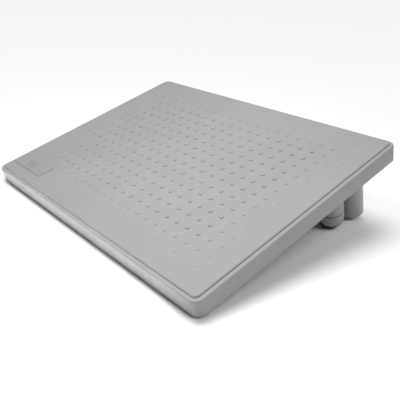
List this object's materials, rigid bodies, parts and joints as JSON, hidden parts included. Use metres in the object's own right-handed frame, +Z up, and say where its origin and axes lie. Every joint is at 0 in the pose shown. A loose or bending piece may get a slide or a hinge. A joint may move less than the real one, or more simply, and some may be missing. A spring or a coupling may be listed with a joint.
{
  "type": "slant board",
  "caption": "Moulded slant board for the feet: a sloping deck with small massage bumps, resting on its front edge and on domed plug-in feet at the rear.",
  "frame": {"origin": "on the floor, under the middle of the object's outline", "axes": "+X to the user's right along the long edge, +Y from the low front edge to the raised rear edge, +Z up from the floor"},
  "size_m": [0.45, 0.3242, 0.1039],
  "materials": {
    "shell_plastic": "fine moulded texture",
    "plate_plastic": "fine moulded texture",
    "leg_plastic": "satin",
    "foot_plastic": "satin",
    "screw_steel": "zinc plated",
    "tip_rubber": "matte",
    "ring_rubber": "matte",
    "pad_rubber": "matte"
  },
  "bodies": {
    "board": {"platform": "shell_plastic", "name_plate": "plate_plastic", "leg_block_left": "leg_plastic", "leg_block_right": "leg_plastic", "block_screws_left": "screw_steel", "block_screws_right": "screw_steel", "front_pad_left": "pad_rubber", "front_pad_right": "pad_rubber"},
    "left_foot": {"foot_left": "foot_plastic", "foot_tip_left": "tip_rubber", "grip_ring_left": "ring_rubber"},
    "right_foot": {"foot_right": "foot_plastic", "foot_tip_right": "tip_rubber", "grip_ring_right": "ring_rubber"}
  },
  "joints": [
    {"name": "foot_left_slide", "type": "slide", "parent": "board", "child": "left_foot", "axis": [0, 0.2504, -0.9681], "range_m": [0, 0.036]},
    {"name": "foot_right_slide", "type": "slide", "parent": "board", "child": "right_foot", "axis": [0, 0.2504, -0.9681], "range_m": [0, 0.036]}
  ]
}
